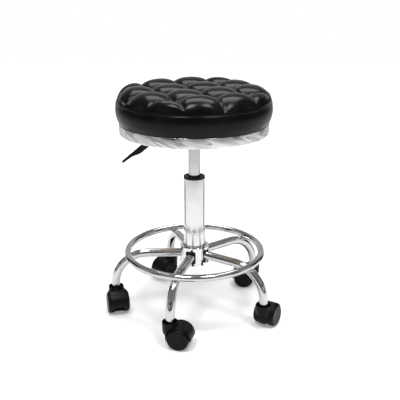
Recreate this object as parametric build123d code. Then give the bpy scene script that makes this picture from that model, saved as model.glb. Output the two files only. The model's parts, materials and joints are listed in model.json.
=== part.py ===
from build123d import *
import os
from math import cos, radians, sin

# Rolling stylist stool. Millimetres, +Z up. The origin is on the floor, on the column's axis.
# The height lever points to -X. The seat stands part way up its travel.

# ---- driving dimensions ----

# five-legged base
LEG_COUNT = 5
LEG_ANGLES = [180 + i * 360 / LEG_COUNT for i in range(LEG_COUNT)]
LEG_R = 10.0
LEG_WALL = 1.6
LEG_Z = 142.0
LEG_REACH = 190.0
LEG_BEND_R = 78.0
LEG_END_Z = 59.0

RING_R = 158.0
RING_TUBE_R = 8.0
RING_WALL = 1.5
RING_Z = 147.5

HUB_R = 34.0
HUB_WALL = 3.0
HUB_Z = (119.0, 163.0)
WINDOW_WIDTH = 24.0
WINDOW_Z = (124.5, 156.0)
WINDOW_CORNER_R = 5.0

# column and gas lift
COLUMN_R = 25.0
COLUMN_WALL = 2.0
COLUMN_Z = (121.0, 328.0)
SOCKET_R = 28.0
CAP_TOP_Z = 333.0
BUSHING_DEPTH = 60.0
CYLINDER_R = 14.0
CYLINDER_BORE_R = 12.5
CYLINDER_Z = (229.0, 426.0)
ROD_R = 5.0
SPIGOT_R = 4.0
PIN_R = 4.0
LIFT_UP = 45.0

# thrust bearing in the column's foot
FOOT_PLATE_Z = (124.0, 128.0)
BALL_R = 2.0
BALL_COUNT = 10
BALL_CIRCLE_R = 8.6
RACE_R = 12.5
RACE_THICKNESS = 2.2
RACE_GAP = 2.8

# clearances between pieces that move on each other
RUN = 0.05
LOOSE = 0.4

# casters
WHEEL_R = 25.0
WHEEL_INNER_Y = 10.5
WHEEL_OUTER_Y = 25.5
TRAIL = 22.0
AXLE_R = 3.0
HOOD_R = 29.0
HOOD_HALF_WIDTH = 23.0
HOOD_GAP = 2.3
WEB_HALF = 10.0
HOOD_EDGE_R = 5.0
NECK_R = 18.0
NECK_FOOT_R = 17.0
NECK_TOP_Z = 57.0
CUP_R = 16.0
CUP_FLOOR_Z = 50.0
WHEEL_EDGE_R = 5.0
STEM_R = 5.5
STEM_TOP_R = 5.0
CASTER_ANGLES = [283, 343, 56, 173, 220]

# seat
BAND_R = 168.0
BAND_WALL = 1.5
BAND_Z = (437.0, 459.0)
BAND_LIP_R = 150.0
COVER_THICKNESS = 1.2
HEM_R = 138.0
BOARD_R = 165.0
BOARD_THICKNESS = 12.0
SIDE_R = 175.0
SEAM_R = 172.0
SEAM_Z = 506.0
SEAT_TOP_Z = 542.0

# mechanism under the seat
PAN_SIZE = (116.0, 76.0)
PAN_Z = 410.0
STEEL = 2.5
FLANGE_SIZE = (176.0, 124.0)
SCREW_SPACING = (144.0, 92.0)
TAPER_SOCKET_R = 20.0
TAPER_Z = (408.0, 424.0)
TAPER_TOP_R = 13.2
PIVOT = (-38.0, 433.8)
BLADE = 3.0
HANDLE_ANGLE = 40.0
HANDLE_EDGE = (-118.2, 407.6)

HEM_Z = BAND_Z[0] + BAND_WALL
BOARD_Z = HEM_Z + COVER_THICKNESS
BOARD_TOP_Z = BOARD_Z + BOARD_THICKNESS

os.makedirs("parts", exist_ok=True)


# ---- helpers ----

def save(name, *solids):
    """Write one node; several separate solids of one node go into one compound."""
    shape = solids[0] if len(solids) == 1 else Compound(children=list(solids))
    export_step(shape, f"parts/{name}.step")


def disc(radius, z0, z1):
    return Pos(0, 0, (z0 + z1) / 2) * Cylinder(radius, z1 - z0)


def tube(outer, inner, z0, z1):
    return disc(outer, z0, z1) - disc(inner, z0 - 1, z1 + 1)


def turned(points):
    """Solid of revolution about Z from an outline of (radius, z) points."""
    return revolve(Plane.XZ * make_face(Polyline(*points, close=True)), Axis.Z)


def box(x, y, z):
    """Box from three (low, high) pairs."""
    centre = Pos((x[0] + x[1]) / 2, (y[0] + y[1]) / 2, (z[0] + z[1]) / 2)
    return centre * Box(x[1] - x[0], y[1] - y[0], z[1] - z[0])


def cross_pin(radius, x, z, half_length):
    """Round bar along Y, centred on the plane y = 0."""
    return Pos(x, 0, z) * Rot(90, 0, 0) * Cylinder(radius, 2 * half_length)


def at_corners(shape, spacing):
    """Four copies of a shape at the corners of a rectangle."""
    return [Pos(sx * spacing[0] / 2, sy * spacing[1] / 2, 0) * shape for sx in (-1, 1) for sy in (-1, 1)]


# ---- hub, socket and column ----

def make_hub():
    """Cover cylinder with a closed top, and a rounded window at each leg."""
    shell = disc(HUB_R, *HUB_Z) - disc(HUB_R - HUB_WALL, HUB_Z[0] - 1, HUB_Z[1] - HUB_WALL)
    shell -= disc(COLUMN_R, HUB_Z[0], HUB_Z[1] + 1)
    shell = chamfer(shell.edges().filter_by(GeomType.CIRCLE).group_by(Axis.Z)[-1].sort_by(Edge.length)[-1:], 0.8)
    middle_z = sum(WINDOW_Z) / 2
    outline = RectangleRounded(WINDOW_WIDTH, WINDOW_Z[1] - WINDOW_Z[0], WINDOW_CORNER_R)
    window = extrude(Plane.YZ * Pos(0, middle_z) * outline, HUB_R + 2)
    for angle in LEG_ANGLES:
        shell -= Rot(0, 0, angle) * window
    return shell


def make_column():
    """Outer tube of the gas lift, with the plate that carries the thrust bearing."""
    column = tube(COLUMN_R, COLUMN_R - COLUMN_WALL, *COLUMN_Z)
    return column + tube(COLUMN_R - COLUMN_WALL, SPIGOT_R + RUN, *FOOT_PLATE_Z)


def make_bushing():
    """Guide sleeve inside the column, with a dished cap on the column's mouth."""
    bore = CYLINDER_R + 2 * RUN
    cap_z = COLUMN_Z[1]
    outline = [(bore, cap_z - BUSHING_DEPTH), (COLUMN_R - COLUMN_WALL, cap_z - BUSHING_DEPTH)]
    outline += [(COLUMN_R - COLUMN_WALL, cap_z), (COLUMN_R, cap_z), (COLUMN_R, CAP_TOP_Z - 1.5)]
    outline += [(COLUMN_R - 1.5, CAP_TOP_Z), (bore + 6, CAP_TOP_Z), (bore, CAP_TOP_Z - 2.5)]
    return turned(outline)


save("hub", make_hub())
save("hub_socket", tube(SOCKET_R, COLUMN_R, COLUMN_Z[0], HUB_Z[1] - HUB_WALL))
save("column_tube", make_column())
save("guide_bushing", make_bushing())


# ---- legs and foot ring ----

def leg_path():
    """Straight out from the hub, a quarter bend, then straight down to the caster."""
    bend_start = (LEG_REACH - LEG_BEND_R, 0, LEG_Z)
    bend_end = (LEG_REACH, 0, LEG_Z - LEG_BEND_R)
    straight = Line((SOCKET_R - 8, 0, LEG_Z), bend_start)
    bend = TangentArc(bend_start, bend_end, tangent=(1, 0, 0))
    return straight + bend + Line(bend_end, (LEG_REACH, 0, LEG_END_Z))


def swept_round(radius):
    path = leg_path()
    return sweep(Plane(origin=path @ 0, z_dir=path % 0) * Circle(radius), path)


ring_outer = Pos(0, 0, RING_Z) * Torus(RING_R, RING_TUBE_R)
leg_outer = swept_round(LEG_R)
leg_bore = swept_round(LEG_R - LEG_WALL)
leg = leg_outer - leg_bore - disc(SOCKET_R, LEG_Z - 20, LEG_Z + 20) - ring_outer
for number, angle in enumerate(LEG_ANGLES, 1):
    save(f"leg_{number}", Rot(0, 0, angle) * leg)
save("foot_ring", ring_outer - Pos(0, 0, RING_Z) * Torus(RING_R, RING_TUBE_R - RING_WALL))


# ---- caster stems and the plugs that hold them in the legs ----

SHIELD_TOP_Z = 30.0
SHIELD_HALF_WIDTH = 20.0
SHIELD_FOOT_Z = 8.0
STEM_FLANGE_Z = (LEG_END_Z - 1.0, LEG_END_Z)
STEM_Z = (39.0, 82.0)
PLUG_TOP_Z = 86.0

plug_zone = Pos(LEG_REACH, 0, 0) * disc(2 * LEG_R, LEG_END_Z, PLUG_TOP_Z)
plug = (leg_bore & plug_zone) - Pos(LEG_REACH, 0, 0) * disc(STEM_TOP_R, LEG_END_Z, STEM_Z[1])
stem = disc(STEM_R, STEM_Z[0], STEM_FLANGE_Z[0]) + disc(LEG_R - 0.5, *STEM_FLANGE_Z)
stem += disc(STEM_TOP_R, STEM_FLANGE_Z[1], STEM_Z[1])
stem = chamfer(stem.edges().filter_by(GeomType.CIRCLE).group_by(Axis.Z)[0], 1.0)
save("stem_sockets", *[Rot(0, 0, angle) * plug for angle in LEG_ANGLES])
save("caster_stems", *[Rot(0, 0, angle) * Pos(LEG_REACH, 0, 0) * stem for angle in LEG_ANGLES])


# ---- twin-wheel caster; local origin on the floor under the stem, wheels trailing to +X ----

def make_hood():
    """Web between the wheels, a shell over their treads, a front shield, and the cup that turns on the stem."""
    axle_at = Pos(TRAIL, 0, WHEEL_R) * Rot(90, 0, 0)
    tread_r = WHEEL_R + HOOD_GAP
    round_part = axle_at * Cylinder(HOOD_R, 2 * HOOD_HALF_WIDTH)
    round_part = fillet(round_part.edges().filter_by(GeomType.CIRCLE), HOOD_EDGE_R)
    neck = turned([(0, 26), (NECK_FOOT_R, 26), (NECK_R, NECK_TOP_Z - 8), (NECK_R, NECK_TOP_Z), (0, NECK_TOP_Z)])
    shoulder = box((0, TRAIL), (-NECK_R, NECK_R), (WHEEL_R, WHEEL_R + HOOD_R - 1))
    hood = round_part + neck + shoulder
    # room for each wheel, open at the bottom and at the side
    for side in (-1, 1):
        middle_y = side * (WEB_HALF + HOOD_HALF_WIDTH + 5) / 2
        hood -= Pos(TRAIL, middle_y, WHEEL_R) * Rot(90, 0, 0) * Cylinder(tread_r, HOOD_HALF_WIDTH + 5 - WEB_HALF)
    # open below; the shell's back end is cut on a slant
    hood -= box((-40, TRAIL + 40), (-40, 40), (-5, SHIELD_FOOT_Z))
    back = [(TRAIL + 16, -5), (TRAIL + 16, 7), (TRAIL + 31, 27), (TRAIL + 40, 27), (TRAIL + 40, -5)]
    hood -= extrude(Plane.XZ * make_face(Polyline(*back, close=True)), 40, both=True)
    # the front shield narrows to a round foot
    shield = Plane.YZ * Pos(0, SHIELD_TOP_Z) * Ellipse(SHIELD_HALF_WIDTH, SHIELD_TOP_Z - SHIELD_FOOT_Z)
    front = box((-40, 8), (-40, 40), (0, SHIELD_TOP_Z)) - Pos(-40, 0, 0) * extrude(shield, 60)
    hood -= front
    slant = [(-NECK_R - 1, 38), (-NECK_R - 1, 0), (-6, 0), (-6, 27)]
    hood -= extrude(Plane.XZ * make_face(Polyline(*slant, close=True)), 40, both=True)
    # the leg ends just above a deep cup; the stem turns in the hole in its floor
    hood -= disc(CUP_R, CUP_FLOOR_Z, NECK_TOP_Z + 1)
    hood -= disc(STEM_R + RUN, STEM_Z[0] - LOOSE, NECK_TOP_Z)
    hood -= cross_pin(AXLE_R, TRAIL, WHEEL_R, 40)
    rim = hood.edges().filter_by(GeomType.CIRCLE).group_by(Axis.Z)[-1]
    return fillet(rim, 0.8)


def make_wheel(side):
    """Solid nylon wheel with rounded shoulders and a blind bore; side is +1 or -1 along Y."""
    width = WHEEL_OUTER_Y - WHEEL_INNER_Y
    wheel = Cylinder(WHEEL_R, width)
    wheel = fillet(wheel.edges().filter_by(GeomType.CIRCLE).group_by(Axis.Z)[-1], WHEEL_EDGE_R)
    wheel = fillet(wheel.edges().filter_by(GeomType.CIRCLE).group_by(Axis.Z)[0], 1.0)
    wheel -= Pos(0, 0, -3) * Cylinder(AXLE_R + RUN, width)
    middle_y = side * (WHEEL_INNER_Y + WHEEL_OUTER_Y) / 2
    return Pos(TRAIL, middle_y, WHEEL_R) * Rot(-90 * side, 0, 0) * wheel


hood = make_hood()
axle = cross_pin(AXLE_R, TRAIL, WHEEL_R, WHEEL_OUTER_Y - 4)
wheel_left = make_wheel(1)
wheel_right = make_wheel(-1)
for number, (leg_angle, trail_angle) in enumerate(zip(LEG_ANGLES, CASTER_ANGLES), 1):
    stem_x = LEG_REACH * cos(radians(leg_angle))
    stem_y = LEG_REACH * sin(radians(leg_angle))
    place = Pos(stem_x, stem_y, 0) * Rot(0, 0, trail_angle)
    save(f"caster_hood_{number}", place * hood)
    save(f"caster_axle_{number}", place * axle)
    save(f"wheel_left_{number}", place * wheel_left)
    save(f"wheel_right_{number}", place * wheel_right)


# ---- thrust bearing: the rod's foot turns on balls inside the column ----

RACE_Z = (FOOT_PLATE_Z[1], FOOT_PLATE_Z[1] + RACE_THICKNESS)
BALL_Z = RACE_Z[1] + RACE_GAP / 2
UPPER_RACE_Z = (RACE_Z[1] + RACE_GAP, RACE_Z[1] + RACE_GAP + RACE_THICKNESS)
BUMP_STOP_Z = (UPPER_RACE_Z[1], UPPER_RACE_Z[1] + 9.0)

groove = Pos(0, 0, BALL_Z) * Torus(BALL_CIRCLE_R, BALL_R + 2 * RUN)
ball = Pos(BALL_CIRCLE_R, 0, BALL_Z) * Sphere(BALL_R)
pocket = Pos(BALL_CIRCLE_R, 0, BALL_Z) * Sphere(BALL_R + 2 * RUN)
ball_turns = [Rot(0, 0, i * 360 / BALL_COUNT) for i in range(BALL_COUNT)]
cage = tube(BALL_CIRCLE_R + 2.9, BALL_CIRCLE_R - 2.9, BALL_Z - 0.6, BALL_Z + 0.6)
for turn in ball_turns:
    cage -= turn * pocket

save("lower_race", tube(RACE_R, SPIGOT_R + 2 * RUN, *RACE_Z) - groove)
save("upper_race", tube(RACE_R, SPIGOT_R, *UPPER_RACE_Z) - groove)
save("ball_cage", cage)
save("bearing_balls", *[turn * ball for turn in ball_turns])


# ---- piston rod, held to the column's foot by a clip ----

HEAD_Z = (CYLINDER_Z[0] + 12.0 + LIFT_UP + 0.6, CYLINDER_Z[0] + 12.0 + LIFT_UP + 14.6)
CLIP_Z = (FOOT_PLATE_Z[0] - 1.8, FOOT_PLATE_Z[0] - 0.3)

rod = disc(SPIGOT_R, COLUMN_Z[0] + 0.5, UPPER_RACE_Z[1]) + disc(ROD_R, UPPER_RACE_Z[1], HEAD_Z[0])
rod += disc(SPIGOT_R, *HEAD_Z)
rod -= tube(SPIGOT_R + 1, SPIGOT_R - 0.8, *CLIP_Z)
clip = tube(7.5, SPIGOT_R - 0.8, *CLIP_Z) - box((0, 9), (-2.5, 2.5), (CLIP_Z[0] - 1, CLIP_Z[1] + 1))

save("piston_rod", rod)
save("retaining_clip", clip)
save("piston_head", tube(CYLINDER_BORE_R - 2 * RUN, SPIGOT_R, *HEAD_Z))
save("bump_stop", tube(11.0, ROD_R, *BUMP_STOP_Z))


# ---- gas cylinder, its lower guide, valve body and release pin ----

VALVE_Z = (402.0, CYLINDER_Z[1])
VALVE_R = 10.5
PIN_Z = (410.0, 432.0)

cylinder_outline = [(0, CYLINDER_Z[0]), (CYLINDER_R, CYLINDER_Z[0]), (CYLINDER_R, TAPER_Z[0])]
cylinder_outline += [(TAPER_TOP_R, TAPER_Z[1]), (TAPER_TOP_R, CYLINDER_Z[1]), (0, CYLINDER_Z[1])]
cylinder = turned(cylinder_outline) - disc(CYLINDER_BORE_R, CYLINDER_Z[0] - 1, VALVE_Z[0])
cylinder -= disc(VALVE_R, VALVE_Z[0] - 1, VALVE_Z[1] + 1)
pin = disc(PIN_R, *PIN_Z)
pin = fillet(pin.edges().filter_by(GeomType.CIRCLE).group_by(Axis.Z)[-1], 1.0)

save("gas_cylinder", cylinder)
save("cylinder_end_cap", tube(CYLINDER_BORE_R, ROD_R + RUN, CYLINDER_Z[0], CYLINDER_Z[0] + 12))
save("valve_body", tube(VALVE_R, PIN_R + RUN, *VALVE_Z))
save("valve_pin", pin)


# ---- pressed pan, taper socket and lever bracket ----

def rounded_plate(size, corner, z0, z1):
    return extrude(Plane.XY.offset(z0) * RectangleRounded(*size, corner), z1 - z0)


def make_seat_plate():
    """Flat plate screwed to the board; its middle is open over the pan."""
    z = (BOARD_Z - STEEL, BOARD_Z)
    inner = (PAN_SIZE[0] - 2 * STEEL, PAN_SIZE[1] - 2 * STEEL)
    plate = rounded_plate(FLANGE_SIZE, 18, *z) - rounded_plate(inner, 12 - STEEL, z[0] - 1, z[1] + 1)
    for hole in at_corners(disc(3.3, z[0] - 1, z[1] + 1), SCREW_SPACING):
        plate -= hole
    return plate


def make_pan():
    """Deep-drawn pan welded under the plate, with a slot where the lever comes out."""
    mouth_z = BOARD_Z - STEEL
    inner = (PAN_SIZE[0] - 2 * STEEL, PAN_SIZE[1] - 2 * STEEL)
    pan = rounded_plate(PAN_SIZE, 12, PAN_Z, mouth_z)
    pan = fillet(pan.edges().group_by(Axis.Z)[0], 3.0)
    pan -= rounded_plate(inner, 12 - STEEL, PAN_Z + STEEL, mouth_z + 1)
    pan -= disc(TAPER_SOCKET_R, PAN_Z - 1, PAN_Z + STEEL + 1)
    slot_x = (-PAN_SIZE[0] / 2 - 1, -PAN_SIZE[0] / 2 + STEEL + 1)
    return pan - box(slot_x, (-12, 12), (PAN_Z + 6, mouth_z - 2))


def make_bracket():
    """U-shaped bracket on the pan's floor; its ears hold the lever pin."""
    floor_z = PAN_Z + STEEL
    bracket = box((PIVOT[0] - 7, PIVOT[0] + 7), (-13, 13), (floor_z, PIVOT[1] + 4.5))
    bracket -= box((PIVOT[0] - 8, PIVOT[0] + 8), (-11, 11), (floor_z + 2, BOARD_Z))
    return bracket - cross_pin(2.5, *PIVOT, 20)


socket_outline = [(CYLINDER_R, TAPER_Z[0]), (TAPER_SOCKET_R, TAPER_Z[0]), (TAPER_SOCKET_R, TAPER_Z[1])]
socket_outline += [(TAPER_TOP_R, TAPER_Z[1])]
lever_pin = cross_pin(2.5, *PIVOT, 14.5) + Pos(0, 14.5, 0) * cross_pin(4.0, *PIVOT, 1.0)

save("seat_plate", make_seat_plate())
save("mechanism_pan", make_pan())
save("plate_socket", turned(socket_outline))
save("lever_bracket", make_bracket())
save("lever_pin", lever_pin)


# ---- lever: a bent steel bar in a plastic paddle ----

def along(distance, across=0.0):
    """Point on the paddle: distance down its straight upper edge, across towards its lower edge."""
    a = radians(HANDLE_ANGLE)
    x = HANDLE_EDGE[0] - distance * cos(a) + across * sin(a)
    z = HANDLE_EDGE[1] - distance * sin(a) - across * cos(a)
    return (x, z)


def side_profile(points, half_width):
    """Flat solid from an outline in the XZ plane, centred on y = 0."""
    return extrude(Plane.XZ * make_face(Polyline(*points, close=True)), half_width, both=True)


def bar(points, thickness):
    """Side outline of a bar bent along a centre line."""
    line = Polyline(*points)
    return offset(line, thickness / 2, side=Side.BOTH)


ROOT = -22.0
blade_x = 8.0
knee = (-56.0, 428.2)
elbow = (-82.9, 428.2)
arm_line = [(blade_x, PIVOT[1]), PIVOT, knee, elbow, along(6.0, 6.8)]
arm_outline = make_face(bar(arm_line, BLADE).edges())
arm = extrude(Plane.XZ * arm_outline, 7.0, both=True)
arm += cross_pin(4.5, *PIVOT, 9.0)
arm -= cross_pin(2.5 + RUN, *PIVOT, 20)

paddle_points = [along(ROOT), along(59.5), along(62, 2.5), along(60, 5.3), along(36, 6.8)]
paddle_points += [along(31, 8.2), along(19, 14.0), along(ROOT, 14.4)]
paddle = side_profile(paddle_points, 9.0)
paddle = chamfer(paddle.faces().filter_by(Axis.Y).edges(), 1.5)
paddle -= arm

save("lever_arm", arm)
save("lever_handle", paddle)


# ---- seat: band, board, foam and cover ----

def make_band():
    """Upright band with an inward lip under the board; a rolled top edge."""
    outline = [(BAND_LIP_R, BAND_Z[0]), (BAND_R - 1.5, BAND_Z[0]), (BAND_R, BAND_Z[0] + 1.5), (BAND_R, BAND_Z[1])]
    outline += [(BAND_R - BAND_WALL, BAND_Z[1]), (BAND_R - BAND_WALL, HEM_Z), (BAND_LIP_R, HEM_Z)]
    band = turned(outline)
    for turn in band_screw_turns:
        band -= turn * disc(1.6, BAND_Z[0] - 1, HEM_Z + 1)
    return band


def cover_profile(inset):
    """Right half of the cushion's section, above the board; inset moves it inwards."""
    rim = SEAM_R - inset
    side = Spline((BOARD_R + COVER_THICKNESS - inset, BAND_Z[1]), (SIDE_R - inset, 487), (rim, SEAM_Z))
    top = Spline((rim, SEAM_Z), (150 - inset, 533 - inset), (90, 541 - inset), (0, SEAT_TOP_Z - inset),
                 tangents=[(-0.2, 1), (-1, 0)])
    return side, top


def make_cover():
    """Closed skin: hem under the board, up the board's side, boxing, and the domed top."""
    t = COVER_THICKNESS
    side, top = cover_profile(0)
    side_in, top_in = cover_profile(t)
    edge_r = BOARD_R + t
    face = make_face([
        Line((HEM_R, HEM_Z), (edge_r, HEM_Z)), Line((edge_r, HEM_Z), side @ 0), side, top,
        Line(top @ 1, top_in @ 1), top_in, side_in,
        Line(side_in @ 0, (BOARD_R, BOARD_Z)), Line((BOARD_R, BOARD_Z), (HEM_R, BOARD_Z)),
        Line((HEM_R, BOARD_Z), (HEM_R, HEM_Z)),
    ])
    return revolve(Plane.XZ * face, Axis.Z)


def make_foam():
    side, top = cover_profile(COVER_THICKNESS)
    face = make_face([
        Line((0, BOARD_TOP_Z), (BOARD_R, BOARD_TOP_Z)), Line((BOARD_R, BOARD_TOP_Z), side @ 0), side, top,
        Line(top @ 1, (0, BOARD_TOP_Z)),
    ])
    return revolve(Plane.XZ * face, Axis.Z)


def make_board():
    board = disc(BOARD_R, BOARD_Z, BOARD_TOP_Z)
    for hole in at_corners(disc(4.0, BOARD_Z - 1, BOARD_TOP_Z + 1), SCREW_SPACING):
        board -= hole
    for turn in band_screw_turns:
        board -= turn * disc(1.6, BOARD_Z - 1, BOARD_Z + 9)
    return board


band_screw_turns = [Rot(0, 0, 30 + i * 60) * Pos(157, 0, 0) for i in range(6)]
band_screw = disc(3.2, BAND_Z[0] - 2.0, BAND_Z[0]) + disc(1.6, BAND_Z[0], BOARD_Z + 9)
plate_screw = disc(5.0, BOARD_Z - STEEL - 3.5, BOARD_Z - STEEL) + disc(3.0, BOARD_Z - STEEL, BOARD_TOP_Z - 1)
tee_nut = tube(4.0, 3.0, BOARD_Z + 2, BOARD_TOP_Z) + tube(9.0, 3.0, BOARD_TOP_Z, BOARD_TOP_Z + 1.2)
cover = make_cover()
for turn in band_screw_turns:
    cover -= turn * disc(1.6, HEM_Z - 1, BOARD_Z + 1)
foam = make_foam()
for nut_room in at_corners(disc(9.0, BOARD_TOP_Z - 1, BOARD_TOP_Z + 1.2), SCREW_SPACING):
    foam -= nut_room

save("trim_ring", make_band())
save("trim_ring_screws", *[turn * band_screw for turn in band_screw_turns])
save("seat_board", make_board())
save("seat_plate_screws", *at_corners(plate_screw, SCREW_SPACING))
save("tee_nuts", *at_corners(tee_nut, SCREW_SPACING))
save("seat_foam", foam)
save("seat_cover", cover)
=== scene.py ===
"""Rolling stylist stool: its visible surfaces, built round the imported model. Metres, +Z up."""
import json
import math

import bmesh
import bpy
import numpy as np
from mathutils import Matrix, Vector


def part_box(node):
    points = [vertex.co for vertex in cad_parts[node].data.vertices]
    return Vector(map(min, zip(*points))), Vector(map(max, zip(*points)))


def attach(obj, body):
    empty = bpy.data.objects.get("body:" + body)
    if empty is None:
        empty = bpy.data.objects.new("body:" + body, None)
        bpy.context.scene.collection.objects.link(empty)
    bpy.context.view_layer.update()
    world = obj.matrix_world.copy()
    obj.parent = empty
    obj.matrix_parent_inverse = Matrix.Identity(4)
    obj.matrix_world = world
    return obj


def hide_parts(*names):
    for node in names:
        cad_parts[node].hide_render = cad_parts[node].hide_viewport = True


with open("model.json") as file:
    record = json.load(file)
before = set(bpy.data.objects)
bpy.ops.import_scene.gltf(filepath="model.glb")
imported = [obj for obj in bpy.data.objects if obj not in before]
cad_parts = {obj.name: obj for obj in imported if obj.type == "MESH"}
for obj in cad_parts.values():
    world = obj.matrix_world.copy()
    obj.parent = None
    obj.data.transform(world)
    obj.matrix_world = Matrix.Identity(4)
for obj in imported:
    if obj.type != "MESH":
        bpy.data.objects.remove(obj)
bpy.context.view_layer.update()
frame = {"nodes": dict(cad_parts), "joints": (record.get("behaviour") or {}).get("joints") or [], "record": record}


# ---------------------------------------------------------------------------------------------
# Studio. A white floor that glows more towards its edge, one large light overhead and two small
# ones in front. The room's dark stripes and two black cards are there for polished metal to mirror.

def shader(name, colour, rough, metal=0.0, **sockets):
    """Material with one Principled shader; returns (material, node tree, shader node)."""
    material = bpy.data.materials.new(name)
    material.use_nodes = True
    tree = material.node_tree
    surface = tree.nodes["Principled BSDF"]
    surface.inputs["Base Color"].default_value = (*colour, 1.0)
    surface.inputs["Roughness"].default_value = rough
    surface.inputs["Metallic"].default_value = metal
    for socket, value in sockets.items():
        surface.inputs[socket.replace("_", " ")].default_value = value
    return material, tree, surface


def add_node(tree, kind, links=(), **settings):
    """Adds a node; links are (socket, value or output), settings are node attributes."""
    made = tree.nodes.new("ShaderNode" + kind)
    for name, value in settings.items():
        setattr(made, name, value)
    for socket, value in links:
        if isinstance(value, bpy.types.NodeSocket):
            tree.links.new(value, made.inputs[socket])
        else:
            made.inputs[socket].default_value = value
    return made


def ramp(tree, factor, stops):
    """Colour ramp of grey or coloured stops given as (position, value)."""
    made = add_node(tree, "ValToRGB", [("Fac", factor)])
    elements = made.color_ramp.elements
    while len(elements) < len(stops):
        elements.new(0.5)
    for element, (position, value) in zip(elements, stops):
        element.position = position
        element.color = (*value, 1) if isinstance(value, tuple) else (value, value, value, 1)
    return made.outputs["Color"]


def point(tree):
    return add_node(tree, "TexCoord").outputs["Object"]


def noise(tree, scale, detail=2.0, at=None, **more):
    links = [("Vector", at or point(tree)), ("Scale", scale), ("Detail", detail)]
    return add_node(tree, "TexNoise", links + list(more.items())).outputs["Fac"]


def grid_mesh(name, points, loop_rows=False, loop_columns=False, smooth=True):
    """Mesh from a (rows, columns, 3) array of points; a direction may close on itself.
    A row whose points all coincide becomes one pole vertex. Faces are turned to face outwards."""
    rows, columns = points.shape[:2]
    index = np.arange(rows * columns).reshape(rows, columns)
    for row in (0, -1):
        if np.ptp(points[row], axis=0).max() < 1e-9:
            index[row] = index[row, 0]
    down = np.r_[np.arange(rows), 0] if loop_rows else np.arange(rows)
    across = np.r_[np.arange(columns), 0] if loop_columns else np.arange(columns)
    index = index[down][:, across]
    quads = np.stack([index[:-1, :-1], index[:-1, 1:], index[1:, 1:], index[1:, :-1]], -1).reshape(-1, 4)
    used, packed = np.unique(quads, return_inverse=True)
    quads = packed.reshape(-1, 4)
    vertices = points.reshape(-1, 3)[used]
    a, b, c, d = (vertices[quads[:, i]] for i in range(4))
    volume = np.einsum("ij,ij->", a, np.cross(b, c)) + np.einsum("ij,ij->", a, np.cross(c, d))
    if volume < 0:
        quads = quads[:, ::-1]
    faces = [tuple(dict.fromkeys(quad)) for quad in quads.tolist()]
    mesh = bpy.data.meshes.new(name)
    mesh.from_pydata(vertices.tolist(), [], [face for face in faces if len(face) > 2])
    mesh.polygons.foreach_set("use_smooth", [smooth] * len(mesh.polygons))
    return mesh


def place(name, mesh, material=None):
    made = bpy.data.objects.new(name, mesh)
    bpy.context.scene.collection.objects.link(made)
    if material:
        mesh.materials.append(material)
    return made


def soft_light(name, at, size, radiance, aim=(0, 0, 0.3)):
    """Area light of a given radiance, in W per square metre per steradian, aimed at a point."""
    data = bpy.data.lights.new(name, "AREA")
    data.shape = "RECTANGLE"
    data.size, data.size_y = size
    data.energy = radiance * math.pi * size[0] * size[1]
    made = bpy.data.objects.new(name, data)
    made.location = at
    direction = Vector(aim) - Vector(at)
    made.rotation_euler = direction.to_track_quat("-Z", "Y").to_euler()
    bpy.context.scene.collection.objects.link(made)


FLOOR_R = 5.0
GLOW_RADIUS = 1.3
GLOW_MIDDLE, GLOW_EDGE = 0.2, 1.0
GLOW_SHARE = 0.12
floor_finish, tree, surface = shader("white_floor", (0.93, 0.93, 0.93), 0.6)
grain = noise(tree, 3.0, 3.0)
tree.links.new(ramp(tree, grain, [(0.3, 0.9), (0.7, 0.94)]), surface.inputs["Base Color"])
away = add_node(tree, "VectorMath", [("Vector", point(tree))], operation="LENGTH").outputs["Value"]
glow_range = [("Value", away), (1, 0.0), (2, GLOW_RADIUS), (3, GLOW_MIDDLE), (4, GLOW_EDGE)]
glow = add_node(tree, "MapRange", glow_range, interpolation_type="SMOOTHSTEP")
seen = add_node(tree, "LightPath").outputs["Is Camera Ray"]
share = add_node(tree, "MapRange", [("Value", seen), (3, GLOW_SHARE), (4, 1.0)])
glow = add_node(tree, "Math", [(0, glow.outputs[0]), (1, share.outputs[0])], operation="MULTIPLY")
surface.inputs["Emission Color"].default_value = (1, 1, 1, 1)
tree.links.new(glow.outputs[0], surface.inputs["Emission Strength"])
floor_r = np.linspace(0, FLOOR_R, 12)[:, None]
floor_a = np.linspace(0, 2 * np.pi, 72, endpoint=False)
flat = np.stack([floor_r * np.cos(floor_a), floor_r * np.sin(floor_a), 0 * floor_r * floor_a], -1)
mesh = grid_mesh("floor", flat[::-1], loop_columns=True)
floor = place("floor", mesh, floor_finish)


def flag(name, azimuth, distance, width, height):
    """Black card standing on the floor that only polished surfaces see, as a dark stripe."""
    middle = np.array([math.sin(azimuth), math.cos(azimuth), 0]) * distance
    along = np.array([math.cos(azimuth), -math.sin(azimuth), 0]) * width / 2
    rows = np.array([[middle - along, middle + along], [middle - along, middle + along]])
    rows[1, :, 2] = height
    made = place(name, grid_mesh(name, rows, smooth=False), black_card)
    made.visible_camera = made.visible_diffuse = made.visible_shadow = False


black_card, tree, surface = shader("black_card", (0.01, 0.01, 0.01), 0.9)
tree.links.new(ramp(tree, noise(tree, 8.0), [(0.3, 0.008), (0.7, 0.02)]), surface.inputs["Base Color"])
FLAG_AZIMUTH, FLAG_DISTANCE, FLAG_WIDTH, FLAG_HEIGHT = math.radians(62), 0.5, 0.16, 0.2
flag("flag_1", FLAG_AZIMUTH, FLAG_DISTANCE, FLAG_WIDTH, FLAG_HEIGHT)
flag("flag_2", -FLAG_AZIMUTH, FLAG_DISTANCE, FLAG_WIDTH, FLAG_HEIGHT)

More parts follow.
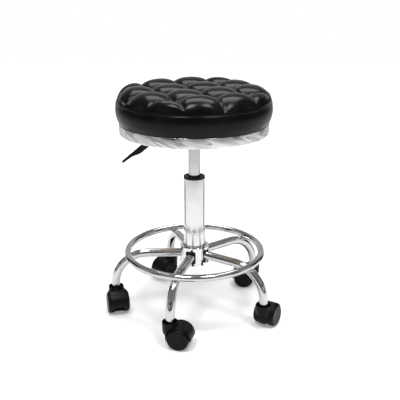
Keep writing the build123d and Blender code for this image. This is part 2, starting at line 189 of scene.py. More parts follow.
room = bpy.data.worlds.new("white_room")
bpy.context.scene.world = room
room.use_nodes = True
tree = room.node_tree
way = add_node(tree, "SeparateXYZ", [("Vector", add_node(tree, "TexCoord").outputs["Generated"])])
turn = add_node(tree, "Math", [(0, way.outputs["X"]), (1, way.outputs["Y"])], operation="ARCTAN2")
turn = add_node(tree, "Math", [(0, turn.outputs[0])], operation="ABSOLUTE")
turn = add_node(tree, "Math", [(0, turn.outputs[0]), (1, math.pi)], operation="DIVIDE")
WALLS = [(0.0, 0.7), (0.22, 0.8), (0.27, 0.06), (0.42, 0.05), (0.47, 0.6), (0.56, 0.7),
         (0.60, 0.08), (0.66, 0.08), (0.70, 0.65), (0.82, 0.55), (0.88, 0.12), (1.0, 0.2)]
walls = ramp(tree, turn.outputs[0], WALLS)
RAILS = [(0.02, 0.15), (0.10, 1.0), (0.24, 1.0), (0.28, 0.2), (0.34, 0.2), (0.38, 0.9)]
skirting = ramp(tree, way.outputs["Z"], RAILS)
wall_layers = [("Fac", 1.0), ("Color1", walls), ("Color2", skirting)]
walls = add_node(tree, "MixRGB", wall_layers, blend_type="MULTIPLY")
height = ramp(tree, way.outputs["Z"], [(0.35, 0.0), (0.6, 1.0)])
CEILING = (0.22, 0.22, 0.22, 1)
light = add_node(tree, "MixRGB", [("Fac", height), ("Color1", walls.outputs[0]), ("Color2", CEILING)])
seen = add_node(tree, "LightPath").outputs["Is Camera Ray"]
light = add_node(tree, "MixRGB", [("Fac", seen), ("Color1", light.outputs[0]), ("Color2", (1, 1, 1, 1))])
tree.links.new(light.outputs[0], tree.nodes["Background"].inputs["Color"])

soft_light("overhead", (0.1, 0.6, 2.2), (1.8, 1.0), 5.5)
soft_light("front_left", (-0.50, -0.80, 2.2), (0.55, 0.65), 19.0, aim=(0, 0, 0.5))
soft_light("front_right", (0.55, -0.75, 2.1), (0.45, 0.60), 19.0, aim=(0, 0, 0.5))

CAMERA_BACK, CAMERA_UP, CAMERA_SIDE = 1.469, 0.774, 0.0131
CAMERA_TURN, CAMERA_PITCH = math.radians(-2.2), math.radians(18.83)
camera = bpy.data.objects.new("camera", bpy.data.cameras.new("camera"))
camera.data.lens = 60.0
camera.data.sensor_width = 36.0
turn_c, turn_s = math.cos(CAMERA_TURN), math.sin(CAMERA_TURN)
camera.location = (CAMERA_SIDE * turn_c + CAMERA_BACK * turn_s,
                   CAMERA_SIDE * turn_s - CAMERA_BACK * turn_c, CAMERA_UP)
camera.rotation_euler = (math.pi / 2 - CAMERA_PITCH, 0, CAMERA_TURN)
bpy.context.scene.collection.objects.link(camera)
bpy.context.scene.camera = camera
bpy.context.scene.view_settings.view_transform = "Standard"


# ---------------------------------------------------------------------------------------------
# Legs. Five 20 mm steel tubes, bent a quarter turn and chromed: straight out from the hub, then
# down into the caster's cup. The lower end is cut square and its edge is eased.

def bump(tree, surface, *layers):
    """Chains bump nodes from (height output, depth in metres) pairs into the shader's normal."""
    normal = None
    for height, depth in layers:
        links = [("Height", height), ("Distance", depth), ("Strength", 1.0)]
        if normal:
            links.append(("Normal", normal))
        normal = add_node(tree, "Bump", links).outputs["Normal"]
    tree.links.new(normal, surface.inputs["Normal"])


def piece(name, mesh, material, body, slot, *stands_for):
    """Adds a visible piece that rides on a body and may stand for CAD nodes."""
    made = place(name, mesh, material)
    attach(made, body)
    if stands_for:
        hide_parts(*stands_for)
    return made


def chrome(name, tint, rough, wave, wave_scale=28.0):
    """Polished plate: faint wave in the surface, fine wiping marks and slightly uneven gloss."""
    material, tree, surface = shader(name, tint, rough, 1.0)
    cloud = noise(tree, 14.0, 4.0)
    gloss_range = [("Value", cloud), (1, 0.3), (2, 0.75), (3, rough * 0.7), (4, rough * 1.5)]
    gloss = add_node(tree, "MapRange", gloss_range)
    tree.links.new(gloss.outputs[0], surface.inputs["Roughness"])
    dark = tuple(0.93 * channel for channel in tint)
    plate = ramp(tree, noise(tree, 40.0, 3.0), [(0.3, dark), (0.6, tint)])
    tree.links.new(plate, surface.inputs["Base Color"])
    bump(tree, surface, (noise(tree, wave_scale, 1.0), wave), (noise(tree, 2600.0, 1.0), 0.000004))
    return material


def frames_along(path):
    """Unit tangents, and two unit normals to them, along a (n, 3) path that lies in one plane."""
    tangent = np.gradient(path, axis=0)
    tangent /= np.linalg.norm(tangent, axis=1, keepdims=True)
    spread = path - path.mean(0)
    side = np.linalg.svd(spread, full_matrices=False)[2][2]
    side = np.broadcast_to(side, path.shape)
    return tangent, side, np.cross(tangent, side)


def bent_tube(name, path, outer, wall, around=48):
    """Round tube along a flat path: point + r (cos a * side + sin a * up), the outer skin followed
    by the inner one, so the wall is closed at both ends."""
    tangent, side, up = frames_along(path)
    a = np.linspace(0, 2 * np.pi, around, endpoint=False)
    ring = side[:, None] * np.cos(a)[:, None] + up[:, None] * np.sin(a)[:, None]
    skin = path[:, None] + outer * ring
    bore = path[::-1, None] + (outer - wall) * ring[::-1]
    return grid_mesh(name, np.concatenate([skin, bore]), loop_rows=True, loop_columns=True)


LEG_R, LEG_WALL, LEG_BEND = 0.010, 0.0016, 0.078
leg_low, leg_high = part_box("leg_1")
leg_z = leg_high.z - LEG_R
leg_reach = -leg_low.x - LEG_R
leg_start = -leg_high.x
leg_foot = leg_low.z
chrome_tube = chrome("chromed_tube", (0.68, 0.68, 0.69), 0.075, 0.00006)


def leg_path(angle):
    """Straight run, quarter arc and short drop in the vertical plane at an angle about Z."""
    turn = np.linspace(0, np.pi / 2, 40)
    run = np.linspace(leg_start, leg_reach - LEG_BEND, 12)[:-1]
    r = np.r_[run, leg_reach - LEG_BEND + LEG_BEND * np.sin(turn), leg_reach, leg_reach]
    z = np.r_[0 * run + leg_z, leg_z - LEG_BEND + LEG_BEND * np.cos(turn), leg_foot + 0.0008, leg_foot]
    return np.stack([r * math.cos(angle), r * math.sin(angle), z], -1)


casters = [1, 2, 3, 4, 5]
leg_angles = [math.pi + i * 2 * math.pi / 5 for i in range(5)]
for number, angle in zip(casters, leg_angles):
    mesh = bent_tube(f"leg_tube_{number}", leg_path(angle), LEG_R, LEG_WALL)
    piece(f"leg_tube_{number}", mesh, chrome_tube, "base", "chrome", f"leg_{number}")


# ---------------------------------------------------------------------------------------------
# Foot ring. A 16 mm steel tube rolled into a hoop, butt-welded, chromed and brazed on top of the
# legs' bends; a small bead of filler shows on both sides of each leg.

def lathe(name, profile, around=160, loop=True):
    """Profile of (radius, z) points turned about Z: (r cos a, r sin a, z)."""
    r, z = np.array(profile, float).T
    a = np.linspace(0, 2 * np.pi, around, endpoint=False)
    points = np.stack([r[:, None] * np.cos(a), r[:, None] * np.sin(a), z[:, None] + 0 * a], -1)
    return grid_mesh(name, points, loop_rows=loop, loop_columns=True)


ring_low, ring_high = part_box("foot_ring")
ring_tube = (ring_high.z - ring_low.z) / 2
ring_r = ring_high.x - ring_tube
ring_z = (ring_high.z + ring_low.z) / 2
a = np.linspace(0, 2 * np.pi, 40, endpoint=False)
hoop = lathe("foot_hoop", np.stack([ring_r + ring_tube * np.cos(a), ring_z + ring_tube * np.sin(a)], -1), 288)
piece("foot_hoop", hoop, chrome_tube, "base", "chrome", "foot_ring")


def bead(name, path, radius, ripples, closed_around=12):
    """Closed bead along a closed path: radius (1 + 0.2 cos(ripples * turn)) round each point."""
    ahead = np.roll(path, -1, 0) - np.roll(path, 1, 0)
    ahead /= np.linalg.norm(ahead, axis=1, keepdims=True)
    side = np.cross(ahead, [0, 0, 1.0])
    side /= np.linalg.norm(side, axis=1, keepdims=True)
    up = np.cross(side, ahead)
    a = np.linspace(0, 2 * np.pi, closed_around, endpoint=False)
    turn = np.linspace(0, 2 * np.pi, len(path), endpoint=False)
    reach = radius * (1 + 0.2 * np.cos(ripples * turn))[:, None, None]
    points = path[:, None] + reach * (side[:, None] * np.cos(a)[:, None] + up[:, None] * np.sin(a)[:, None])
    return grid_mesh(name, points, loop_rows=True, loop_columns=True)


def ring_weld(angle):
    """Oval on the bend's upper skin under the hoop: t = 6.2 mm cos, s = 6.6 mm sin, laid on the
    bend's torus at the angle where the hoop touches it."""
    turn = np.linspace(0, 2 * np.pi, 108, endpoint=False)
    t, s = 0.0062 * np.cos(turn), 0.0066 * np.sin(turn)
    bend_r, bend_z = leg_reach - LEG_BEND, leg_z - LEG_BEND
    skin = LEG_BEND + np.sqrt(LEG_R ** 2 - t ** 2)
    beta = math.asin((ring_r - bend_r) / (LEG_BEND + LEG_R)) + s / (LEG_BEND + LEG_R)
    r, z = bend_r + skin * np.sin(beta), bend_z + skin * np.cos(beta)
    x = r * math.cos(angle) - t * math.sin(angle)
    y = r * math.sin(angle) + t * math.cos(angle)
    return np.stack([x, y, z], -1)


weld_chrome = chrome("plated_weld", (0.62, 0.62, 0.62), 0.16, 0.0002, 300.0)
for number, angle in zip(casters, leg_angles):
    name = f"ring_weld_{number}"
    piece(name, bead(name, ring_weld(angle), 0.0014, 24), weld_chrome, "base", "chrome")


# ---------------------------------------------------------------------------------------------
# Hub. A chromed steel cover with a flat top, pierced by a rounded window round each leg; the
# socket tube that everything is welded to shows through the windows, painted black: partly its dark
# steel, partly painted shade for the shadow inside the hub.

nodes = frame["nodes"]


def smooth_copy(node, angle=35):
    """Copy of a CAD node's mesh with its loose triangles joined, shaded smooth below an angle."""
    mesh = nodes[node].data.copy()
    mesh.materials.clear()
    work = bmesh.new()
    work.from_mesh(mesh)
    bmesh.ops.remove_doubles(work, verts=work.verts, dist=1e-6)
    for edge in work.edges:
        edge.smooth = len(edge.link_faces) == 2 and edge.calc_face_angle(0) < math.radians(angle)
    for face in work.faces:
        face.smooth = True
    work.to_mesh(mesh)
    work.free()
    mesh.name = node + "_smooth"
    return mesh


def painted_steel(name, colour, rough):
    """Thin baked paint over pressed steel: fine orange peel and dusty, slightly rubbed patches."""
    material, tree, surface = shader(name, colour, rough)
    rubbed = tuple(min(1.0, 2.2 * channel + 0.01) for channel in colour)
    paint = ramp(tree, noise(tree, 60.0, 5.0), [(0.45, colour), (0.8, rubbed)])
    tree.links.new(paint, surface.inputs["Base Color"])
    gloss_range = [("Value", noise(tree, 25.0, 3.0)), (3, rough * 0.8), (4, rough * 1.3)]
    gloss = add_node(tree, "MapRange", gloss_range)
    tree.links.new(gloss.outputs[0], surface.inputs["Roughness"])
    bump(tree, surface, (noise(tree, 900.0, 2.0), 0.00004))
    return material


hub_chrome = chrome("chromed_hub", (0.85, 0.85, 0.86), 0.06, 0.00004)
black_paint = painted_steel("black_paint", (0.02, 0.02, 0.02), 0.45)
piece("hub_cover", smooth_copy("hub"), hub_chrome, "base", "chrome", "hub")
# The socket tube's black is partly its dark steel and partly painted shade for the shadow seen through the
# windows.
piece("socket_tube", smooth_copy("hub_socket"), black_paint, "base", "black_steel", "hub_socket")
hub_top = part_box("hub")[1].z


# ---------------------------------------------------------------------------------------------
# Column and gas lift. A chromed 50 mm outer tube with a black plastic guide pressed into its
# mouth, and the satin-chromed 28 mm cylinder that slides in it.

def eased(points, radius, steps=5):
    """Closed outline with each corner replaced by a quadratic arc that starts radius before it."""
    corner = np.array(points, float)
    before = np.roll(corner, 1, 0) - corner
    after = np.roll(corner, -1, 0) - corner
    reach = np.minimum(np.linalg.norm(before, axis=1), np.linalg.norm(after, axis=1)) * 0.45
    reach = np.minimum(reach, radius)[:, None]
    start = corner + before / np.linalg.norm(before, axis=1)[:, None] * reach
    end = corner + after / np.linalg.norm(after, axis=1)[:, None] * reach
    t = np.linspace(0, 1, steps)[None, :, None]
    arc = (1 - t) ** 2 * start[:, None] + 2 * t * (1 - t) * corner[:, None] + t ** 2 * end[:, None]
    return arc.reshape(-1, 2)


def band_outline(outer, inner, low, high):
    return [(inner, low), (outer, low), (outer, high), (inner, high)]


column_low, column_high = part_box("column_tube")
column_r = column_high.x
column_chrome = chrome("chromed_column", (0.84, 0.85, 0.84), 0.18, 0.00003)
outline = eased(band_outline(column_r, column_r - 0.002, column_low.z, column_high.z), 0.0004)
piece("column", lathe("column", outline), column_chrome, "base", "chrome", "column_tube")
turn = np.linspace(0, 2 * np.pi, 360, endpoint=False)
WELD_R, WELD_Z = column_r + 0.0006, hub_top + 0.0003
foot = np.stack([WELD_R * np.cos(turn), WELD_R * np.sin(turn), 0 * turn + WELD_Z], -1)
piece("column_weld", bead("column_weld", foot, 0.0013, 64), weld_chrome, "base", "chrome")


def moulded(name, colour, rough, grain=0.00002):
    """Moulded plastic: fine matt texture, soft colour drift and scuffed high spots."""
    material, tree, surface = shader(name, colour, rough, Specular_IOR_Level=0.16)
    worn = tuple(1.6 * channel + 0.003 for channel in colour)
    skin = ramp(tree, noise(tree, 80.0, 4.0), [(0.4, colour), (0.75, worn)])
    tree.links.new(skin, surface.inputs["Base Color"])
    gloss_range = [("Value", noise(tree, 120.0, 3.0)), (3, rough * 0.8), (4, rough * 1.25)]
    gloss = add_node(tree, "MapRange", gloss_range)
    tree.links.new(gloss.outputs[0], surface.inputs["Roughness"])
    bump(tree, surface, (noise(tree, 1800.0, 2.0), grain), (noise(tree, 50.0, 2.0), 0.00008))
    return material


guide_plastic = moulded("guide_plastic", (0.012, 0.012, 0.013), 0.28)
guide_low, guide_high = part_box("guide_bushing")
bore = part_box("gas_cylinder")[1].x + 0.0001
cap_top, cap_foot = guide_high.z, column_high.z
sleeve_r = column_r - 0.002
outline = [(bore, guide_low.z), (sleeve_r, guide_low.z), (sleeve_r, cap_foot), (column_r, cap_foot),
           (column_r, cap_top), (column_r - 0.005, cap_top), (bore + 0.004, cap_top - 0.0022),
           (bore, cap_top - 0.0026)]
mesh = lathe("guide_cap", eased(outline, 0.0013))
piece("guide_cap", mesh, guide_plastic, "base", "guide_plastic", "guide_bushing")


def satin_chrome():
    """Hard chrome drawn lengthways: fine vertical lines, a soft gloss and a faint grease film."""
    material, tree, surface = shader("satin_chrome", (0.60, 0.62, 0.62), 0.2, 1.0)
    stretch = add_node(tree, "Mapping", [("Vector", point(tree)), ("Scale", (1.0, 1.0, 0.02))])
    lines = noise(tree, 1400.0, 3.0, stretch.outputs[0])
    gloss = add_node(tree, "MapRange", [("Value", lines), (1, 0.25), (2, 0.75), (3, 0.14), (4, 0.26)])
    tree.links.new(gloss.outputs[0], surface.inputs["Roughness"])
    film = noise(tree, 30.0, 3.0)
    plate = ramp(tree, film, [(0.35, (0.55, 0.57, 0.56)), (0.7, (0.63, 0.64, 0.64))])
    tree.links.new(plate, surface.inputs["Base Color"])
    bump(tree, surface, (lines, 0.000006))
    return material


gas_low, gas_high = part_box("gas_cylinder")
gas_r = gas_high.x
taper_z, taper_r = gas_high.z - 0.018, gas_r - 0.0008
neck_r, neck_z = 0.0105, gas_high.z - 0.024
outline = [(gas_r - 0.0015, gas_low.z), (gas_r, gas_low.z), (gas_r, taper_z),
           (taper_r, gas_high.z - 0.002), (taper_r, gas_high.z), (neck_r, gas_high.z),
           (neck_r, neck_z), (0.0125, neck_z)]
mesh = lathe("gas_tube", eased(outline, 0.0004))
piece("gas_tube", mesh, satin_chrome(), "seat", "satin_chrome", "gas_cylinder")


# ---------------------------------------------------------------------------------------------
# Casters. Each has a moulded nylon hood with a cup for the leg, a steel axle, and two solid
# nylon wheels with a smooth face, a rounded shoulder and a flat tread.

hood_nylon = moulded("hood_nylon", (0.003, 0.003, 0.0032), 0.36, 0.00003)
# Painted shade: where the "recess" attribute is 1, inside the cup and under the shell, the hood's colour is mixed
# to near black and its roughness raised to fully matt, standing for the shade in these hollows.
tree = hood_nylon.node_tree
surface = tree.nodes["Principled BSDF"]
recess = add_node(tree, "Attribute", attribute_name="recess").outputs["Fac"]
skin = surface.inputs["Base Color"].links[0].from_socket
shade = add_node(tree, "MixRGB", [("Fac", recess), ("Color1", skin), ("Color2", (0.0004, 0.0004, 0.0004, 1))])
tree.links.new(shade.outputs[0], surface.inputs["Base Color"])
gloss = surface.inputs["Roughness"].links[0].from_socket
matt = add_node(tree, "Math", [(0, gloss), (1, recess)], operation="MAXIMUM")
tree.links.new(matt.outputs[0], surface.inputs["Roughness"])
wheel_nylon = moulded("wheel_nylon", (0.0038, 0.0038, 0.004), 0.34, 0.00002)
joint_of = {joint["name"]: joint for joint in frame["joints"]}
WHEEL_R, WHEEL_INNER, WHEEL_OUTER, WHEEL_EDGE = 0.025, 0.0105, 0.0255, 0.005
CUP_R, CUP_FLOOR_Z, CUP_TOP_Z = 0.0162, 0.0495, 0.0562
SHELL_R, WEB_HALF = 0.0276, 0.0095


def wheel_profile(radius, width):
    """(radius, distance along the axle) from the middle of the outer face, dished by 0.6 mm and
    raised round its rim, over a quarter-circle shoulder and the flat tread, to the inner face."""
    face = np.linspace(0, radius - WHEEL_EDGE, 6)
    face = np.stack([face, width - 0.0006 * (1 - (face / (radius - WHEEL_EDGE)) ** 6)], -1)
    turn = np.linspace(0, np.pi / 2, 14)[1:]
    edge = np.stack([radius - WHEEL_EDGE * (1 - np.sin(turn)), width - WHEEL_EDGE * (1 - np.cos(turn))], -1)
    inside = [(radius, 0.0012), (radius - 0.0003, 0.0003), (radius - 0.0012, 0.0), (0.0, 0.0)]
    return np.concatenate([face, edge, inside])


def turned_on(profile, origin, axis, around=96):
    """Profile of (radius, distance) points turned about any axis from an origin."""
    axis = np.array(axis, float)
    up = np.array([0, 0, 1.0])
    side = np.cross(axis, up)
    r, s = np.array(profile, float).T
    a = np.linspace(0, 2 * np.pi, around, endpoint=False)
    ring = np.cos(a)[:, None] * up + np.sin(a)[:, None] * side
    return np.array(origin) + s[:, None, None] * axis + r[:, None, None] * ring


def mark_painted_recess_shade(mesh, stem, axle, spin):
    """Adds the attribute "recess", the mask of painted shade in the hood's hollows: 1 inside the
    cup, within CUP_R of the stem's axis between the cup's floor and top, and under the shell, within
    SHELL_R of the axle's line beyond the web."""
    points = np.empty(3 * len(mesh.vertices), np.float32)
    mesh.vertices.foreach_get("co", points)
    points = points.reshape(-1, 3)
    from_stem = np.hypot(points[:, 0] - stem[0], points[:, 1] - stem[1])
    cup = (from_stem < CUP_R) & (points[:, 2] > CUP_FLOOR_Z) & (points[:, 2] < CUP_TOP_Z)
    offset = points - axle
    along = offset @ spin
    radius = np.linalg.norm(offset - along[:, None] * spin, axis=1)
    shell = (radius < SHELL_R) & (np.abs(along) > WEB_HALF)
    inside = (cup | shell).astype(np.float32)
    mesh.attributes.new("recess", "FLOAT", "POINT").data.foreach_set("value", inside)


for number in casters:
    mesh = smooth_copy(f"caster_hood_{number}")
    spin = joint_of[f"wheel_spin_l_{number}"]
    stem = joint_of[f"caster_swivel_{number}"]["pos_m"]
    mark_painted_recess_shade(mesh, stem, np.array(spin["pos_m"]), np.array(spin["axis"]))
    piece(f"hood_{number}", mesh, hood_nylon, f"caster_{number}", "caster_nylon", f"caster_hood_{number}")
    for side, sign in (("left", 1), ("right", -1)):
        spin = joint_of[f"wheel_spin_{side[0]}_{number}"]
        axis = sign * np.array(spin["axis"])
        origin = np.array(spin["pos_m"]) + axis * WHEEL_INNER
        points = turned_on(wheel_profile(WHEEL_R, WHEEL_OUTER - WHEEL_INNER), origin, axis)
        name = f"wheel_{side}_{number}_nylon"
        piece(name, grid_mesh(name, points, loop_columns=True), wheel_nylon, f"wheel_{side[0]}_{number}",
              "wheel_nylon", f"wheel_{side}_{number}")


# ---------------------------------------------------------------------------------------------
# Lever. A bent steel bar whose end is moulded into a flat black paddle: broad at the root, with
# a shoulder under it, thinning to a finger tip.

handle_plastic = moulded("handle_plastic", (0.012, 0.012, 0.012), 0.38)
PADDLE_SLOPE = math.radians(40)
PADDLE_EDGE = (-0.1182, 0.4076)


def paddle_mesh():
    """Loft of superellipse sections |y/b|^3.2 + |w/a|^3.2 = 1 along the straight upper edge; the depth
    falls from 14.4 mm to 5 mm past the shoulder, and both ends are rounded off."""
    s = np.linspace(-0.022, 0.062, 120)
    depth = np.interp(s, [-0.022, 0.012, 0.020, 0.030, 0.038, 0.062],
                      [0.0144, 0.0142, 0.0132, 0.0088, 0.0068, 0.0052])
    breadth = np.interp(s, [-0.022, 0.020, 0.062], [0.009, 0.0085, 0.006])
    kernel = np.ones(9) / 9
    depth = np.convolve(np.pad(depth, 4, "edge"), kernel, "valid")
    tip = np.sqrt(np.clip(1 - ((s - 0.0585) / 0.0036).clip(0) ** 2, 0, 1))
    root = np.sqrt(np.clip(1 - ((-0.0195 - s) / 0.0026).clip(0) ** 2, 0, 1))
    size = np.minimum(tip, root)
    a = np.linspace(0, 2 * np.pi, 40, endpoint=False)
    y = np.sign(np.cos(a)) * np.abs(np.cos(a)) ** (2 / 3.2)
    w = np.sign(np.sin(a)) * np.abs(np.sin(a)) ** (2 / 3.2)
    across = depth[:, None] / 2 + w * (depth / 2 * size)[:, None]
    down, out = math.sin(PADDLE_SLOPE), math.cos(PADDLE_SLOPE)
    x = PADDLE_EDGE[0] - s[:, None] * out + across * down
    z = PADDLE_EDGE[1] - s[:, None] * down - across * out
    return grid_mesh("paddle", np.stack([x, y * (breadth * size)[:, None], z], -1), loop_columns=True)


piece("paddle", paddle_mesh(), handle_plastic, "lever", "handle_plastic", "lever_handle")


# ---------------------------------------------------------------------------------------------
# Trim band. A strip of thin stainless, rolled into a hoop with a folded lip that is screwed up
# into the seat board, and polished bright.

band_low, band_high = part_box("trim_ring")
band_r = band_high.x
lip_r = 0.150
WINDING = 14.0


def band_with_painted_reflections():
    """Bright strip with painted reflections: dark streaks in its colour that stand for the room's
    dark stripes mirrored in it, drawn as the level lines of a slow noise, leaning because the noise
    is wound about Z, by WINDING radians for each metre that it climbs."""
    material = chrome("polished_band", (0.84, 0.84, 0.84), 0.08, 0.0035, 18.0)
    tree = material.node_tree
    surface = tree.nodes["Principled BSDF"]
    climb = add_node(tree, "SeparateXYZ", [("Vector", point(tree))]).outputs["Z"]
    wind = add_node(tree, "Math", [(0, climb), (1, WINDING)], operation="MULTIPLY")
    turned = [("Vector", point(tree)), ("Angle", wind.outputs[0])]
    wound = add_node(tree, "VectorRotate", turned, rotation_type="Z_AXIS")
    level = noise(tree, 26.0, 1.5, wound.outputs[0])
    # Painted reflection: this ramp darkens the band's colour in leaning streaks, standing for the dark room
    # mirrored in the polished metal.
    painted_reflection_streaks = ramp(tree, level, [(0.36, 0.62), (0.40, 0.3), (0.43, 0.8), (0.5, 0.86),
                                (0.53, 0.42), (0.56, 0.84), (0.64, 0.6)])
    tree.links.new(painted_reflection_streaks, surface.inputs["Base Color"])
    return material


band_chrome = band_with_painted_reflections()
outline = [(lip_r, band_low.z), (band_r, band_low.z), (band_r, band_high.z), (band_r - 0.0015, band_high.z),
           (band_r - 0.0015, band_low.z + 0.0015), (lip_r, band_low.z + 0.0015)]
piece("band", lathe("band", eased(outline, 0.0012), 288), band_chrome, "seat", "chrome", "trim_ring")


# ---------------------------------------------------------------------------------------------
# Cushion. Moulded foam under black vinyl: a plain boxing strip round the side, sewn to a top
# panel that is pulled down on a square grid of stitches, so it swells into soft pillows.

cover_low, cover_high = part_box("seat_cover")
board_low, board_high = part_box("seat_board")
SEAM_R, SEAM_Z, BULGE_R, BULGE_Z = 0.172, 0.506, 0.175, 0.486
TUFT_PITCH, TUFT_TURN = 0.080, math.radians(21.3)
TUFT_START = (-0.0216, -0.0672)
HEM_R, LINING_R = 0.138, 0.1652
PILLOW_RISE = cover_high.z - SEAM_Z
SADDLE, TUFT, PLEAT, PLEAT_REACH = 0.58, 0.18, 0.022, 0.1


def pillow_height(x, y):
    """Share of the full rise at a point of the top panel. u and v run from 0 at a pillow's centre
    to 1 at its stitch lines; the lines sag from SADDLE to TUFT at the crossings, as 1 - u^2 v^2,
    and each pillow swells from them as sqrt((1 - u^2.2)(1 - v^2.2)). Eleven small pleats fan out
    from each crossing, as sin(11 turn) d^2 e^(1 - d^2), d being the distance in PLEAT_REACH."""
    wander = 0.0016
    x = x + wander * np.sin(31 * y + 1.3) + wander * 0.6 * np.sin(83 * y + 40 * x)
    y = y + wander * np.sin(29 * x + 0.4) + wander * 0.6 * np.sin(77 * x - 35 * y)
    c, s = math.cos(TUFT_TURN), math.sin(TUFT_TURN)
    along = ((x - TUFT_START[0]) * c + (y - TUFT_START[1]) * s) / TUFT_PITCH
    across = (-(x - TUFT_START[0]) * s + (y - TUFT_START[1]) * c) / TUFT_PITCH
    u = 2 * np.abs(along - np.round(along))
    v = 2 * np.abs(across - np.round(across))
    lines = TUFT + (SADDLE - TUFT) * (1 - u ** 2 * v ** 2)
    swell = np.sqrt((1 - u ** 2.2).clip(0) * (1 - v ** 2.2).clip(0))
    fullness = 1 + 0.03 * np.sin(7.1 * np.round(along) + 3.7 * np.round(across))
    across_from, along_from = across - np.floor(across) - 0.5, along - np.floor(along) - 0.5
    far = np.hypot(across_from, along_from)
    pleats = np.sin(11 * np.arctan2(across_from, along_from) + 5 * np.floor(along) + 3 * np.floor(across))
    near = (far / PLEAT_REACH) ** 2
    return lines + (1 - SADDLE) * swell * fullness + PLEAT * pleats * near * np.exp(1 - near)


def crown(r):
    """How much of the rise is left at a radius: (1 - (r / seam)^9)^(1 / 2.4)."""
    return (1 - (r / SEAM_R).clip(0, 1) ** 9) ** (1 / 2.4)


def cushion_mesh():
    """Polar grid: the top panel from its centre to the seam, the boxing down to the band, the hem
    folded under the board, and back round the board to a pole on its upper face."""
    a = np.linspace(0, 2 * np.pi, 480, endpoint=False)
    r = SEAM_R * np.sin(np.linspace(0, 1, 130) * np.pi / 2) ** 0.9
    r = r[:, None] + 0 * a
    x, y = r * np.cos(a), r * np.sin(a)
    z = SEAM_Z + PILLOW_RISE * pillow_height(x, y) * crown(r)
    top = np.stack([x, y, z], -1)
    seam = [(SEAM_R + 0.0002, SEAM_Z - 0.0006), (SEAM_R - 0.0008, SEAM_Z - 0.0012),
            (SEAM_R + 0.0002, SEAM_Z - 0.0018)]
    t = np.linspace(0.0, 1.0, 26)
    side_z = SEAM_Z - 0.0018 + t * (cover_low.z + 0.002 - SEAM_Z + 0.0018)
    side_r = np.interp(side_z, [0.440, 0.459, 0.470, BULGE_Z, 0.498, SEAM_Z],
                       [0.1663, 0.1664, 0.1722, BULGE_R, 0.1742, SEAM_R + 0.0004])
    side_r = np.convolve(np.pad(side_r, 2, "edge"), np.ones(5) / 5, "valid")
    below = [(0.1662, cover_low.z + 0.0003), (0.1655, cover_low.z), (HEM_R, cover_low.z),
             (HEM_R, board_low.z - 0.0001), (LINING_R, board_low.z - 0.0001),
             (LINING_R, board_high.z + 0.0001), (0.0, board_high.z + 0.0001)]
    outline = np.array(seam + list(zip(side_r, side_z)) + below)
    rest = np.stack([outline[:, :1] * np.cos(a), outline[:, :1] * np.sin(a), outline[:, 1:] + 0 * a], -1)
    return grid_mesh("cushion", np.concatenate([top, rest]), loop_columns=True)


def black_vinyl(name, gloss_level):
    """Coated fabric: pebbled grain, a slow unevenness and a soft sheen that drifts in gloss."""
    material, tree, surface = shader(name, (0.003, 0.003, 0.0028), gloss_level, Specular_IOR_Level=0.17)
    dark, light = (0.0024, 0.0024, 0.0022), (0.0045, 0.0045, 0.004)
    shade = ramp(tree, noise(tree, 22.0, 3.0), [(0.35, dark), (0.7, light)])
    tree.links.new(shade, surface.inputs["Base Color"])
    gloss_range = [("Value", noise(tree, 45.0, 4.0)), (1, 0.3), (2, 0.7),
                   (3, gloss_level * 0.8), (4, gloss_level * 1.15)]
    gloss = add_node(tree, "MapRange", gloss_range)
    tree.links.new(gloss.outputs[0], surface.inputs["Roughness"])
    cells = add_node(tree, "TexVoronoi", [("Vector", point(tree)), ("Scale", 900.0)]).outputs["Distance"]
    creases, drift = noise(tree, 200.0, 2.0), noise(tree, 45.0, 1.0)
    bump(tree, surface, (cells, 0.00002), (creases, 0.00002), (drift, 0.00012))
    return material


mesh = cushion_mesh()
vinyl = black_vinyl("black_vinyl", 0.235)
cushion = piece("cushion", mesh, vinyl, "seat", "vinyl", "seat_cover", "seat_foam")

a = np.linspace(0, 2 * np.pi, 14, endpoint=False)
ROLL_R = 0.0013
roll = np.stack([SEAM_R + 0.0002 + ROLL_R * np.cos(a), SEAM_Z - 0.0012 + ROLL_R * np.sin(a)], -1)
piece("seam_roll", lathe("seam_roll", roll, 288), black_vinyl("rolled_vinyl", 0.24), "seat", "vinyl")


# ---------------------------------------------------------------------------------------------
# Under the seat. A plywood board carries a painted plate and pan on four screws; the band is held
# by six more, and the vinyl's hem by staples. The lift's hidden parts get their finishes here too.

def plywood():
    """Birch face veneer: long wavering grain along X, with darker pores."""
    material, tree, surface = shader("plywood", (0.62, 0.46, 0.29), 0.6)
    stretch = add_node(tree, "Mapping", [("Vector", point(tree)), ("Scale", (1.0, 14.0, 14.0))])
    grain = noise(tree, 9.0, 6.0, stretch.outputs[0])
    veneer = ramp(tree, grain, [(0.3, (0.42, 0.28, 0.16)), (0.5, (0.60, 0.44, 0.27)),
                                (0.7, (0.70, 0.54, 0.36))])
    tree.links.new(veneer, surface.inputs["Base Color"])
    bump(tree, surface, (grain, 0.0002))
    return material


def plated_steel(name, colour, rough):
    """Zinc or bare steel: cloudy tint with fine drawn lines."""
    material, tree, surface = shader(name, colour, rough, 1.0)
    dull = tuple(0.8 * channel for channel in colour)
    cloud = ramp(tree, noise(tree, 90.0, 4.0), [(0.35, dull), (0.65, colour)])
    tree.links.new(cloud, surface.inputs["Base Color"])
    bump(tree, surface, (noise(tree, 1500.0, 2.0), 0.00001))
    return material


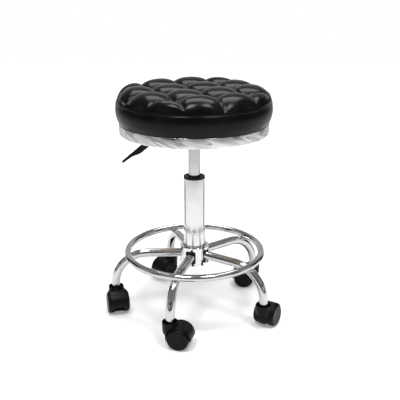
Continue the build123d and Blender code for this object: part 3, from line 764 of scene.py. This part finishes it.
finishes = {
    "plywood": plywood(),
    "black_steel": black_paint,
    "zinc_steel": plated_steel("zinc_plate", (0.62, 0.63, 0.62), 0.32),
    "bright_steel": plated_steel("ground_steel", (0.66, 0.66, 0.67), 0.2),
    "brass": plated_steel("turned_brass", (0.72, 0.56, 0.28), 0.25),
    "rubber": moulded("stop_rubber", (0.02, 0.02, 0.02), 0.7, 0.00005),
    "guide_plastic": guide_plastic,
    "chrome": chrome_tube,
    "satin_chrome": satin_chrome(),
}
for entry in frame["record"]["subparts"]:
    finish = finishes.get(entry["material_slot"])
    shown = nodes[entry["node"]]
    if finish and not shown.hide_render:
        shown.data.materials.clear()
        shown.data.materials.append(finish)


def copies(name, single, places):
    """One mesh with a copy of a small mesh at each (x, y, turn about Z)."""
    corner = np.empty(3 * len(single.vertices), np.float32)
    single.vertices.foreach_get("co", corner)
    px, py, pz = corner.reshape(-1, 3).T
    x, y, turn = np.array(places)[:, :, None].transpose(1, 0, 2)
    every = np.stack([x + px * np.cos(turn) - py * np.sin(turn),
                      y + px * np.sin(turn) + py * np.cos(turn), pz + 0 * x], -1)
    firsts = [len(px) * copy for copy in range(len(places))]
    faces = [tuple(polygon.vertices) for polygon in single.polygons]
    joined = [tuple(first + index for index in face) for first in firsts for face in faces]
    mesh = bpy.data.meshes.new(name)
    mesh.from_pydata(every.reshape(-1, 3).tolist(), [], joined)
    mesh.polygons.foreach_set("use_smooth", [True] * len(mesh.polygons))
    return mesh


def cross_screw(z, radius, rise, shank_r, shank_top):
    """Domed head under a shank, on a polar grid: height rise * sqrt(1 - (r/R)^2.5), less a recess
    of 1.2 mm where the smaller of |x| and |y| is under 0.4 mm, fading by 0.8 mm, inside 0.62 R."""
    r = radius * np.linspace(0, 1, 20)[:, None]
    a = np.linspace(0, 2 * np.pi, 48, endpoint=False)
    x, y = r * np.cos(a), r * np.sin(a)
    arm = np.minimum(np.abs(x), np.abs(y))
    cross = (1 - np.clip((arm - 0.0004) / 0.0004, 0, 1)) * (r < 0.62 * radius)
    height = rise * np.sqrt(np.clip(1 - (r / radius) ** 2.5, 0, 1)) - 0.0012 * cross
    height = np.maximum(height, 0.0003 * (r < radius))
    shank = np.array([(shank_r, z), (shank_r, shank_top), (0, shank_top)])
    rest = np.stack([shank[:, :1] * np.cos(a), shank[:, :1] * np.sin(a), shank[:, 1:] + 0 * a], -1)
    return grid_mesh("screw", np.concatenate([np.stack([x, y, z - height], -1), rest]), loop_columns=True)


BAND_SCREW_CIRCLE, PLATE_SCREW_X, PLATE_SCREW_Y = 0.157, 0.072, 0.046
turns = [math.radians(30 + 60 * number) for number in range(6)]
screw_places = [(BAND_SCREW_CIRCLE * math.cos(turn), BAND_SCREW_CIRCLE * math.sin(turn), 2.3 * turn)
                for turn in turns]
screw_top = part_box("trim_ring_screws")[1].z
mesh = copies("band_screws", cross_screw(band_low.z, 0.0034, 0.0022, 0.0016, screw_top), screw_places)
piece("band_screws", mesh, finishes["zinc_steel"], "seat", "zinc_steel", "trim_ring_screws")

screw_places = [(x * PLATE_SCREW_X, y * PLATE_SCREW_Y, 1.1 * x + 0.7 * y)
                for x in (-1, 1) for y in (-1, 1)]
screw_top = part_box("seat_plate_screws")[1].z
plate_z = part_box("seat_plate")[0].z
mesh = copies("plate_screws", cross_screw(plate_z, 0.0054, 0.0038, 0.003, screw_top), screw_places)
piece("plate_screws", mesh, finishes["zinc_steel"], "seat", "zinc_steel", "seat_plate_screws")


def staple(z):
    """Flat wire bar: a 10 x 1.2 mm superellipse, 0.8 mm thick."""
    u = np.linspace(0, np.pi, 8)[:, None]
    v = np.linspace(0, 2 * np.pi, 16, endpoint=False)
    x = 0.005 * np.sin(u) ** 0.3 * np.sign(np.cos(v)) * np.abs(np.cos(v)) ** 0.4
    y = 0.0006 * np.sin(u) ** 0.3 * np.sign(np.sin(v)) * np.abs(np.sin(v)) ** 0.4
    return grid_mesh("staple", np.stack([x, y, z + 0.0004 * np.cos(u) + 0 * v], -1), loop_columns=True)


STAPLE_COUNT, STAPLE_CIRCLE = 40, 0.1435
turns = np.linspace(0, 2 * np.pi, STAPLE_COUNT, endpoint=False)
staple_places = [(STAPLE_CIRCLE * math.cos(turn), STAPLE_CIRCLE * math.sin(turn), turn + math.pi / 2)
                 for turn in turns]
mesh = copies("hem_staples", staple(cover_low.z - 0.0002), staple_places)
piece("hem_staples", mesh, finishes["zinc_steel"], "seat", "zinc_steel")
